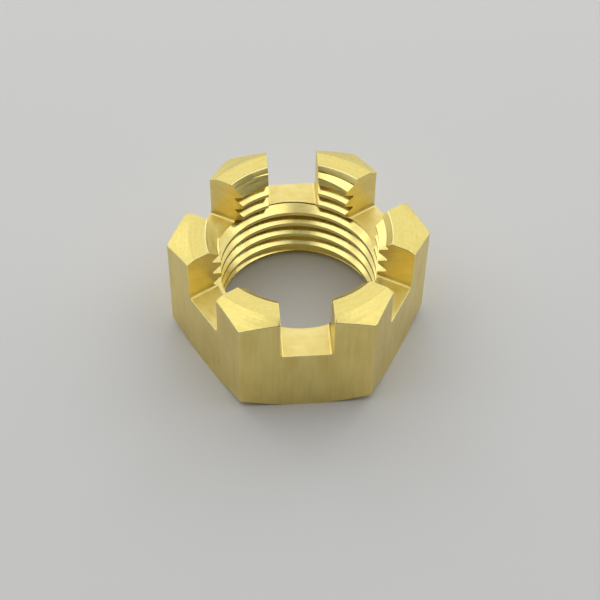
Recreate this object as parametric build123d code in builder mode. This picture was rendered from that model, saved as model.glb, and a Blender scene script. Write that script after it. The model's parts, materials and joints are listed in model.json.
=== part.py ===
# Castle nut: a brass hexagon nut with six slots milled across its top for a split pin.
# One solid. The origin is the centre of the bearing face, and +Z runs up the thread axis.

from build123d import *
from math import cos, radians, tan
import os

# Hexagon bar, in millimetres
across_flats = 41.0
corner_rounding = 0.6  # radius along the six upright edges of the drawn bar

# Turned form
nut_height = 24.0
top_land_radius = 19.7  # where the flat top ends and the chamfer starts
top_chamfer_angle = 27.0  # fall of the top chamfer below the flat, degrees
bearing_radius = 20.7  # where the bearing face ends and the bottom chamfer starts
bottom_chamfer_angle = 30.0  # rise of the bottom chamfer above the face, degrees

# Tapped hole, a right-hand 32 x 3 metric thread, bored to the crests of the thread
thread_diameter = 32.0
thread_pitch = 3.0
crest_height_share = 1.0825  # thread diameter less crest diameter, in pitches
root_flat_share = 0.125  # flat at the bottom of the groove, in pitches
flank_angle = 30.0  # slope of the groove's two sides, degrees off level
top_sink_radius = 16.7
bottom_sink_radius = 16.4
sink_angle = 45.0  # slope of both countersinks below their face, degrees

# Slots for the split pin
slot_count = 6
slot_width = 9.25
slot_depth = 9.5
slot_root_radius = 0.6  # rounding where a slot's walls meet its floor

# Worked out from the sizes above
crest_radius = (thread_diameter - crest_height_share * thread_pitch) / 2
across_corners = across_flats / cos(radians(30))
rim_radius = across_corners / 2 + 1.0  # past the corners, so the chamfers run out in air
slot_floor = nut_height - slot_depth
first_flat_angle = 30.0  # from +X to the middle of the first flat
passes = slot_count // 2  # each cutter pass opens two opposite slots


def drop(run, angle):
    """Height lost along a slope of this angle over a horizontal run."""
    return run * tan(radians(angle))


def cutter_plane(angle):
    """Upright plane square to a cutter's path, with its origin on the slot floor."""
    path = Vector(1, 0, 0).rotate(Axis.Z, angle)
    return Plane(origin=(0, 0, slot_floor), x_dir=path.rotate(Axis.Z, 90), z_dir=path)


# Half of the turned section, from the bore out to the rim
bottom_rim_height = drop(rim_radius - bearing_radius, bottom_chamfer_angle)
top_rim_height = nut_height - drop(rim_radius - top_land_radius, top_chamfer_angle)
bottom_sink_top = drop(bottom_sink_radius - crest_radius, sink_angle)
top_sink_bottom = nut_height - drop(top_sink_radius - crest_radius, sink_angle)

turned_section = [
    (crest_radius, bottom_sink_top),
    (bottom_sink_radius, 0),
    (bearing_radius, 0),
    (rim_radius, bottom_rim_height),
    (rim_radius, top_rim_height),
    (top_land_radius, nut_height),
    (top_sink_radius, nut_height),
    (crest_radius, top_sink_bottom),
]

# Half of the tap's ridge section is above the start of its winding and half below
root_radius = thread_diameter / 2
ridge_embed = 0.2  # how far the ridge's foot lies inside the rod
foot_radius = crest_radius - ridge_embed
tip_half = root_flat_share * thread_pitch / 2
foot_half = tip_half + drop(root_radius - foot_radius, flank_angle)

ridge_section = [
    (foot_radius, -foot_half),
    (root_radius, -tip_half),
    (root_radius, tip_half),
    (foot_radius, foot_half),
]

tap_overrun = 1.5 * thread_pitch  # length of tap past each face of the nut
tap_length = nut_height + 2 * tap_overrun

with BuildPart() as tap:
    # A ridge is wound up a rod that fills the bore
    with BuildLine() as winding:
        Helix(pitch=thread_pitch, height=tap_length, radius=crest_radius)
    with BuildSketch(Plane.XZ):
        with BuildLine():
            Polyline(*ridge_section, close=True)
        make_face()
    sweep(path=winding.wires()[0], is_frenet=True)
    Cylinder(crest_radius, tap_length, align=(Align.CENTER, Align.CENTER, Align.MIN))

with BuildPart() as castle_nut:
    # Slice of hexagon bar with rounded upright edges
    with BuildSketch():
        RegularPolygon(across_flats / 2, 6, major_radius=False)
    extrude(amount=nut_height)
    fillet(castle_nut.edges().filter_by(Axis.Z), corner_rounding)

    # Turning leaves the two chamfers, the bore and its countersinks
    with BuildSketch(Plane.XZ):
        with BuildLine():
            Polyline(*turned_section, close=True)
        make_face()
    revolve(axis=Axis.Z, mode=Mode.INTERSECT)

    # The tap leaves the thread
    add(tap.part.moved(Location((0, 0, -tap_overrun))), mode=Mode.SUBTRACT)

    # Milling opens the slots, two at a time, across the middle of opposite flats
    for number in range(passes):
        angle = first_flat_angle + number * 360 / slot_count
        with BuildSketch(cutter_plane(angle)) as cutter:
            Rectangle(slot_width, 2 * slot_depth, align=(Align.CENTER, Align.MIN))
            fillet(cutter.vertices().group_by(Axis.Y)[0], slot_root_radius)
        extrude(amount=rim_radius, both=True, mode=Mode.SUBTRACT)

castle_nut.part.label = "castle_nut"

os.makedirs("parts", exist_ok=True)
export_step(castle_nut.part, "parts/castle_nut.step")
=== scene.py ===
import json
from math import cos, pi, radians, sin, tan
import bpy
from mathutils import Matrix, Vector


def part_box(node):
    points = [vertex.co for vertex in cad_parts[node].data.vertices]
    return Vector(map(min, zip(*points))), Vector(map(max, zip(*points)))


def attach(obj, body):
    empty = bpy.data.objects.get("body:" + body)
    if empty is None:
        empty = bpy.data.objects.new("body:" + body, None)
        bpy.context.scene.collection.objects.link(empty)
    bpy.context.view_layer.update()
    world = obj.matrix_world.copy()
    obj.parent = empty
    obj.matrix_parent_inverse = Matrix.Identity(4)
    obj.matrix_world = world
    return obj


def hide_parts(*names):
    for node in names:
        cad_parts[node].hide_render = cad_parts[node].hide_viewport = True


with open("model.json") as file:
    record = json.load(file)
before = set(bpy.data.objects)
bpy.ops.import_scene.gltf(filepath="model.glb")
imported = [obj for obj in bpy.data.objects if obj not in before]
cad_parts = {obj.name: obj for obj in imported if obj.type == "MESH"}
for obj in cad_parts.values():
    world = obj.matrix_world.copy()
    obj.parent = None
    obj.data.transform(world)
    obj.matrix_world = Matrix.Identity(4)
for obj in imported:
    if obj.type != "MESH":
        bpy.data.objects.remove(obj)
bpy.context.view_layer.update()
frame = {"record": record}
lowCorner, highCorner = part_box("castle_nut")
print("frame loaded")

mm = 0.001


def editAll(piece, mode="VERT"):
    bpy.context.view_layer.objects.active = piece
    bpy.ops.object.mode_set(mode="EDIT")
    bpy.ops.mesh.select_mode(type=mode)
    bpy.ops.mesh.select_all(action="SELECT")


def leaveEdit():
    bpy.ops.object.mode_set(mode="OBJECT")


def selectOnly(piece):
    bpy.ops.object.select_all(action="DESELECT")
    piece.select_set(True)
    bpy.context.view_layer.objects.active = piece


def settle(piece):                   # its place goes into its mesh
    selectOnly(piece)
    bpy.ops.object.transform_apply(location=True, rotation=True, scale=True)


def pickEdges(piece, wanted):        # wanted(a, b) is given an edge's two ends
    points = piece.data.vertices
    bpy.context.view_layer.objects.active = piece
    bpy.ops.object.mode_set(mode="EDIT")
    bpy.ops.mesh.select_mode(type="EDGE")
    bpy.ops.mesh.select_all(action="DESELECT")
    bpy.ops.object.mode_set(mode="OBJECT")
    for edge in piece.data.edges:
        edge.select = wanted(*(points[v].co for v in edge.vertices))
    bpy.ops.object.mode_set(mode="EDIT")


def drawOutline(name, corners):      # a chain of edges in the XZ plane, drawn point by point
    bpy.ops.object.select_all(action="DESELECT")
    bpy.ops.mesh.primitive_plane_add(size=mm)
    outline = bpy.context.object
    outline.name = name
    editAll(outline)
    bpy.ops.mesh.merge(type="CENTER")
    bpy.ops.transform.translate(value=(corners[0][0], 0, corners[0][1]))
    for here, there in zip(corners, corners[1:]):
        step = (there[0] - here[0], 0, there[1] - here[1])
        bpy.ops.mesh.extrude_region_move(TRANSFORM_OT_translate={"value": step})
    leaveEdit()
    return outline


def finishWith(piece, kind, **settings):
    selectOnly(piece)
    modifier = piece.modifiers.new(kind.title(), kind)
    for key, value in settings.items():
        setattr(modifier, key, value)
    bpy.ops.object.modifier_apply(modifier=modifier.name)


def cut(piece, tool, operation="DIFFERENCE"):
    finishWith(piece, "BOOLEAN", object=tool, operation=operation, solver="EXACT",
               material_mode="TRANSFER")
    bpy.data.objects.remove(tool)


def fall(run, angle):
    return run * tan(radians(angle))


finishes = {
    # one for each way the metal was worked, dark is for its patches; the slots and the edges are also
    # lightened, as painted light
    "drawnFlats": {"colour": (0.86, 0.71, 0.26), "dark": (0.74, 0.57, 0.17), "roughness": 0.34},
    "turnedFaces": {"colour": (0.89, 0.76, 0.26), "dark": (0.80, 0.64, 0.18), "roughness": 0.33},
    # the slots' brass, and its dark too, is lightened: painted light standing in for light bounced
    # between the slot walls
    "milledSlotsPaintedLight": {"colour": (0.95, 0.82, 0.33), "dark": (0.85, 0.66, 0.20), "roughness": 0.42},
    "tappedThread": {"colour": (0.89, 0.76, 0.28), "dark": (0.83, 0.68, 0.22), "roughness": 0.17},
    # a smoother deburred edge, and its lighter colour is a painted highlight along the edges
    "deburredEdgesPaintedHighlight": {"colour": (0.93, 0.83, 0.40), "roughness": 0.25},
}


def addNode(material, kind, inputs, **settings):     # gives back its first output
    node = material.node_tree.nodes.new(kind)
    for key, value in settings.items():
        setattr(node, key, value)
    for key, value in inputs.items():
        if isinstance(value, bpy.types.NodeSocket):
            material.node_tree.links.new(value, node.inputs[key])
        else:
            node.inputs[key].default_value = value
    return node.outputs[0]


def ownPlace(material):              # the piece's own coordinates, in metres
    node = material.node_tree.nodes.new("ShaderNodeTexCoord")
    return node.outputs["Object"]


def stretched(material, place, stretch):
    return addNode(material, "ShaderNodeVectorMath", {0: place, 1: stretch}, operation="MULTIPLY")


def grain(material, place, stretch, detail=3.0):
    # noise that runs along the axis it is least stretched on
    return addNode(material, "ShaderNodeTexNoise",
                   {"Vector": stretched(material, place, stretch), "Scale": 1.0, "Detail": detail,
                    "Roughness": 0.6})


def distanceFrom(material, place, centre):
    node = material.node_tree.nodes.new("ShaderNodeVectorMath")
    node.operation = "DISTANCE"
    material.node_tree.links.new(place, node.inputs[0])
    node.inputs[1].default_value = centre
    return node.outputs["Value"]


def ringPlace(material, place, centre=(0, 0, 0), flat=True):     # x, y and the distance from a centre
    level = stretched(material, place, (1, 1, 0)) if flat else place
    parts = material.node_tree.nodes.new("ShaderNodeSeparateXYZ")
    material.node_tree.links.new(place, parts.inputs[0])
    return addNode(material, "ShaderNodeCombineXYZ",
                   {"X": parts.outputs["X"], "Y": parts.outputs["Y"],
                    "Z": distanceFrom(material, level, centre)})


def scaled(material, value, low, high):              # middle of a noise spread over low to high
    return addNode(material, "ShaderNodeMapRange",
                   {"Value": value, "From Min": 0.32, "From Max": 0.68, "To Min": low, "To Max": high})


def mixed(material, first, second, share):           # share of the second value
    return addNode(material, "ShaderNodeMix", {"Factor": share, "A": first, "B": second})


def finish(name, patches, marks, depth):
    # patches colour the metal, marks roughen it and stand out by depth
    material = bpy.data.materials[name]
    settings = finishes[name]
    shader = material.node_tree.nodes["Principled BSDF"]
    tint = material.node_tree.nodes.new("ShaderNodeValToRGB")
    tint.color_ramp.elements[0].color = (*settings["dark"], 1)
    tint.color_ramp.elements[0].position = 0.3
    tint.color_ramp.elements[1].color = (*settings["colour"], 1)
    tint.color_ramp.elements[1].position = 0.6
    links = material.node_tree.links
    links.new(patches, tint.inputs["Fac"])
    links.new(tint.outputs["Color"], shader.inputs["Base Color"])
    rough = settings["roughness"]
    links.new(scaled(material, marks, rough * 0.8, rough * 1.25), shader.inputs["Roughness"])
    raised = addNode(material, "ShaderNodeBump", {"Height": marks, "Strength": 1.0, "Distance": depth})
    links.new(raised, shader.inputs["Normal"])


def freshBrass(name):
    material = bpy.data.materials.new(name)
    material.use_nodes = True
    shader = material.node_tree.nodes["Principled BSDF"]
    shader.inputs["Base Color"].default_value = (*finishes[name]["colour"], 1)
    shader.inputs["Metallic"].default_value = 1
    shader.inputs["Roughness"].default_value = finishes[name]["roughness"]
    return material


drawnFlats, turnedFaces, milledSlotsPaintedLight, tappedThread, deburredEdgesPaintedHighlight = map(freshBrass, finishes)

# drawn bar: streaks up the flats over broad cloudy patches
place = ownPlace(drawnFlats)
streaks = grain(drawnFlats, place, (1600, 1600, 70))
clouds = grain(drawnFlats, place, (330, 330, 110), 2)
finish("drawnFlats", mixed(drawnFlats, clouds, streaks, 0.45), streaks, 0.012 * mm)

# turned faces: fine rings round the axis, and specks
place = ownPlace(turnedFaces)
rings = grain(turnedFaces, ringPlace(turnedFaces, place), (160, 160, 3200))
specks = grain(turnedFaces, place, (1500, 1500, 1500), 2)
finish("turnedFaces", mixed(turnedFaces, rings, specks, 0.5), rings, 0.010 * mm)

# milled slots: arcs left by the side of the cutter, whose middle passed well above the nut
cutterMiddle = (0, 0, 52 * mm)
place = ownPlace(milledSlotsPaintedLight)
arcs = grain(milledSlotsPaintedLight, ringPlace(milledSlotsPaintedLight, place, cutterMiddle, False), (120, 120, 2600))
blotches = grain(milledSlotsPaintedLight, place, (420, 420, 420), 2)
finish("milledSlotsPaintedLight", mixed(milledSlotsPaintedLight, arcs, blotches, 0.5), arcs, 0.012 * mm)

# tapped thread: a bright cut with faint chatter across it
place = ownPlace(tappedThread)
chatter = grain(tappedThread, place, (1300, 1300, 90), 2)
smears = grain(tappedThread, ringPlace(tappedThread, place), (90, 90, 900), 2)
finish("tappedThread", mixed(tappedThread, smears, chatter, 0.4), chatter, 0.004 * mm)
print("finishes ready")


nut = {
    "acrossFlats": highCorner.y - lowCorner.y,
    "height": highCorner.z,
    "cornerRounding": 0.6 * mm,      # radius of the drawn bar's upright edges
    "topLandRadius": 19.7 * mm,
    "topChamferAngle": 27,
    "bearingRadius": 20.7 * mm,
    "bottomChamferAngle": 30,
    "topSinkRadius": 16.7 * mm,
    "bottomSinkRadius": 16.4 * mm,
    "sinkAngle": 45,
    "turnSteps": 240,                # facets round the turned faces
    "edgeBreak": 0.12 * mm,          # width of the deburred edges
    "unbrokenFoot": 0.3 * mm,        # height below which the edges stay sharp
    "edgeAngle": 35,                 # least turn at an edge that is deburred
    "smoothAngle": 25,               # most turn that is shaded smooth
    "sliver": 0.02 * mm,             # shorter edges are cleaned away
}


def hexBar():
    corner = nut["acrossFlats"] / 2 / cos(radians(30))
    bpy.ops.object.select_all(action="DESELECT")
    bpy.ops.mesh.primitive_cylinder_add(vertices=6, radius=corner, depth=nut["height"] * 2,
                                        location=(0, 0, nut["height"] / 2),
                                        rotation=(0, 0, radians(30)))
    bar = bpy.context.object
    bar.name = "castleNut"
    settle(bar)
    pickEdges(bar, lambda a, b: abs(a.z - b.z) > nut["height"])
    bpy.ops.mesh.bevel(offset=nut["cornerRounding"] * tan(radians(30)), segments=6)
    leaveEdit()
    bar.data.materials.append(drawnFlats)
    return bar


def turnedBlank():                   # both chamfers, both faces, the countersinks and the bore
    rim = nut["acrossFlats"] / 2 / cos(radians(30)) + mm
    bore = thread["crestRadius"]
    top = nut["height"]
    corners = [
        (bore, fall(nut["bottomSinkRadius"] - bore, nut["sinkAngle"])),
        (nut["bottomSinkRadius"], 0),
        (nut["bearingRadius"], 0),
        (rim, fall(rim - nut["bearingRadius"], nut["bottomChamferAngle"])),
        (rim, top - fall(rim - nut["topLandRadius"], nut["topChamferAngle"])),
        (nut["topLandRadius"], top),
        (nut["topSinkRadius"], top),
        (bore, top - fall(nut["topSinkRadius"] - bore, nut["sinkAngle"])),
    ]
    blank = drawOutline("turnedBlank", corners + corners[:1])
    editAll(blank)
    bpy.ops.mesh.remove_doubles(threshold=mm / 1000)
    bpy.ops.mesh.select_all(action="SELECT")
    bpy.ops.mesh.spin(steps=nut["turnSteps"], angle=2 * pi, center=(0, 0, 0), axis=(0, 0, 1))
    bpy.ops.mesh.select_all(action="SELECT")
    bpy.ops.mesh.remove_doubles(threshold=mm / 1000)
    bpy.ops.mesh.normals_make_consistent(inside=False)
    leaveEdit()
    blank.data.materials.append(turnedFaces)
    blank.data.materials.append(tappedThread)
    for face in blank.data.polygons:
        inBore = Vector(face.center[:2]).length < bore + mm / 10
        face.material_index = 1 if inBore else 0
    blank.rotation_euler.z = pi / nut["turnSteps"]     # half a facet, clear of the hexagon's corners
    settle(blank)
    return blank


slots = {
    "width": 9.25 * mm,
    "depth": 9.5 * mm,
    "rootRadius": 0.6 * mm,
    "count": 6,
    "firstAngle": 30,                # first slot, from +X
}


def slotCutter(angle):               # one pass cuts two opposite slots
    across = nut["acrossFlats"] * 1.5
    floor = nut["height"] - slots["depth"]
    bpy.ops.object.select_all(action="DESELECT")
    bpy.ops.mesh.primitive_cube_add(size=1, location=(0, 0, floor + slots["depth"]),
                                    scale=(across, slots["width"], 2 * slots["depth"]))
    cutter = bpy.context.object
    cutter.name = "slotCutter"
    settle(cutter)
    pickEdges(cutter, lambda a, b: max(a.z, b.z) < floor + mm and abs(a.x - b.x) > mm)
    bpy.ops.mesh.bevel(offset=slots["rootRadius"], segments=6)
    leaveEdit()
    # the slots get the lightened brass, painted light inside them
    cutter.data.materials.append(milledSlotsPaintedLight)
    cutter.rotation_euler.z = radians(angle)
    settle(cutter)
    return cutter


threadMount = next(m for m in frame["record"]["mounts"] if m["name"] == "thread")
thread = {
    "crestRadius": threadMount["dims"]["r_mm"] * mm,
    "rootRadius": 16.0 * mm,
    "pitch": 3.0 * mm,
    "flankAngle": 30,                # between a flank and the plane square to the axis
    "rootFlat": 3.0 / 8 * mm,
    "stepsPerTurn": 180,
    "coreInset": 0.4 * mm,           # how far the tap's core lies inside the bore
    "overrun": 1.004 * mm,           # tap beyond each face of the nut
    "margin": 0.2 * mm,              # nothing is cleaned or deburred this near the thread
}


def tap():                           # the shape the thread is cut with, ridge and core in one
    pitch = thread["pitch"]
    root = thread["rootRadius"]
    core = thread["crestRadius"] - thread["coreInset"]
    flankRise = fall(root - core, thread["flankAngle"])
    halfRoot = thread["rootFlat"] / 2
    turns = int(nut["height"] / pitch) + 4
    low = -2 * pitch
    ridge = [
        (core, low),
        (core, low + pitch / 2 - halfRoot - flankRise),
        (root, low + pitch / 2 - halfRoot),
        (root, low + pitch / 2 + halfRoot),
        (core, low + pitch / 2 + halfRoot + flankRise),
        (core, low + pitch),
    ]
    rod = drawOutline("tap", ridge)
    finishWith(rod, "SCREW", axis="Z", angle=2 * pi, screw_offset=pitch, iterations=turns,
               steps=thread["stepsPerTurn"], render_steps=thread["stepsPerTurn"],
               use_merge_vertices=True, merge_threshold=mm / 1000, use_normal_calculate=True)
    overrun = thread["overrun"]
    for height, side in ((-overrun, "inner"), (nut["height"] + overrun, "outer")):
        editAll(rod)
        bpy.ops.mesh.bisect(plane_co=(0, 0, height), plane_no=(0, 0, 1), threshold=1e-8,
                            clear_inner=side == "inner", clear_outer=side == "outer",
                            use_fill=True)
        leaveEdit()
    editAll(rod)
    bpy.ops.mesh.remove_doubles(threshold=mm / 1000)
    bpy.ops.mesh.normals_make_consistent(inside=False)
    leaveEdit()
    rod.data.materials.append(tappedThread)
    return rod


castleNut = hexBar()
cut(castleNut, turnedBlank(), "INTERSECT")
print("turned body ready", len(castleNut.data.polygons))
cut(castleNut, tap())
print("thread cut", len(castleNut.data.polygons))
for number in range(slots["count"] // 2):
    cut(castleNut, slotCutter(slots["firstAngle"] + number * 360 / slots["count"]))
print("slots cut", len(castleNut.data.polygons))

editAll(castleNut)
bpy.ops.mesh.select_all(action="DESELECT")
leaveEdit()
clearOfThread = thread["rootRadius"] + thread["margin"]
for point in castleNut.data.vertices:
    point.select = point.co.xy.length > clearOfThread
bpy.ops.object.mode_set(mode="EDIT")
bpy.ops.mesh.dissolve_degenerate(threshold=nut["sliver"])
bpy.ops.mesh.remove_doubles(threshold=nut["sliver"])
bpy.ops.mesh.select_mode(type="EDGE")
bpy.ops.mesh.select_all(action="DESELECT")
bpy.ops.mesh.edges_select_sharp(sharpness=radians(nut["edgeAngle"]))
leaveEdit()
# the bevelled edges get the lighter brass, a painted highlight along each edge
castleNut.data.materials.append(deburredEdgesPaintedHighlight)
points = castleNut.data.vertices
for edge in castleNut.data.edges:    # the thread and the foot of the nut keep their edges
    inner = min(points[v].co.xy.length for v in edge.vertices)
    lowest = min(points[v].co.z for v in edge.vertices)
    edge.select = edge.select and inner > clearOfThread and lowest > nut["unbrokenFoot"]
bpy.ops.object.mode_set(mode="EDIT")
bpy.ops.mesh.bevel(offset=nut["edgeBreak"], segments=3, clamp_overlap=False,
                   material=len(castleNut.data.materials) - 1)
leaveEdit()
print("edges broken", len(castleNut.data.polygons))

selectOnly(castleNut)
bpy.ops.object.shade_smooth_by_angle(angle=radians(nut["smoothAngle"]))
meets = {}                           # materials that meet along each edge
for face in castleNut.data.polygons:
    for key in face.edge_keys:
        meets.setdefault(key, set()).add(castleNut.data.materials[face.material_index])
for edge in castleNut.data.edges:    # the thread starts crisply in its countersinks
    if meets.get(edge.key) == {turnedFaces, tappedThread}:
        edge.use_edge_sharp = True
finishWith(castleNut, "WEIGHTED_NORMAL", keep_sharp=True)

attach(castleNut, "root")
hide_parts("castle_nut")
print("nut finished")


floorMaterial = bpy.data.materials.new("paleFloor")
floorMaterial.use_nodes = True
floorShader = floorMaterial.node_tree.nodes["Principled BSDF"]
floorShader.inputs["Base Color"].default_value = (0.72, 0.72, 0.71, 1)
floorShader.inputs["Roughness"].default_value = 0.8
bpy.ops.object.select_all(action="DESELECT")
bpy.ops.mesh.primitive_plane_add(size=3)
studioFloor = bpy.context.object
studioFloor.name = "studioFloor"
studioFloor.data.materials.append(floorMaterial)

view = {
    "aim": Vector((0.6, 2.2, 1.8)) * mm,
    "distance": 291.5 * mm,
    "elevation": 51.29,
    "turn": 5.14,                    # camera stands this far round towards -X
    "roll": -1.2,
    "lens": 92.1,
}


def addCamera():
    e, t, r = (radians(view[key]) for key in ("elevation", "turn", "roll"))
    forward = Vector((sin(t) * cos(e), cos(t) * cos(e), -sin(e)))
    right = Vector((cos(t), -sin(t), 0))
    up = right.cross(forward)
    rolledRight = right * cos(r) - up * sin(r)
    rolledUp = right * sin(r) + up * cos(r)
    place = Matrix((rolledRight, rolledUp, -forward)).transposed().to_4x4()
    place.translation = view["aim"] - forward * view["distance"]
    cameraData = bpy.data.cameras.new("camera")
    cameraData.lens = view["lens"]
    cameraData.sensor_width = 36
    cameraData.clip_start = 0.01
    camera = bpy.data.objects.new("camera", cameraData)
    bpy.context.scene.collection.objects.link(camera)
    camera.matrix_world = place
    bpy.context.scene.camera = camera


softboxes = {                        # turn and elevation of the middle, size in metres, brightness
    "backBox": {"turn": 0, "elevation": 37, "size": (1.2, 1.0), "brightness": 0.85},
    "leftBox": {"turn": -68, "elevation": 30, "size": (0.7, 0.6), "brightness": 0.72},
    "rightBox": {"turn": 68, "elevation": 30, "size": (0.7, 0.6), "brightness": 0.78},
    "leftTopBox": {"turn": -122, "elevation": 60, "size": (0.35, 0.35), "brightness": 0.6},
    "rightTopBox": {"turn": 122, "elevation": 60, "size": (0.35, 0.35), "brightness": 0.6},
    "topBox": {"turn": 0, "elevation": 90, "size": (1.3, 0.42), "brightness": 0.92},
}


def addSoftbox(name, box, distance=0.7):
    width, height = box["size"]
    lamp = bpy.data.lights.new(name, "AREA")
    lamp.shape = "RECTANGLE"
    lamp.size, lamp.size_y = width, height
    lamp.energy = box["brightness"] * pi * width * height
    stand = bpy.data.objects.new(name, lamp)
    bpy.context.scene.collection.objects.link(stand)
    turn, elevation = radians(box["turn"]), radians(box["elevation"])
    towards = Vector((sin(turn) * cos(elevation), cos(turn) * cos(elevation), sin(elevation)))
    stand.location = towards * distance
    stand.rotation_euler = (-towards).to_track_quat("-Z", "Y").to_euler()


addCamera()
for boxName, box in softboxes.items():
    addSoftbox(boxName, box)

world = bpy.data.worlds.new("studioWorld")
world.use_nodes = True
backdrop = world.node_tree.nodes["Background"]
backdrop.inputs["Color"].default_value = (1, 1, 1, 1)
backdrop.inputs["Strength"].default_value = 0.12
bpy.context.scene.world = world
bpy.context.scene.view_settings.view_transform = "Standard"
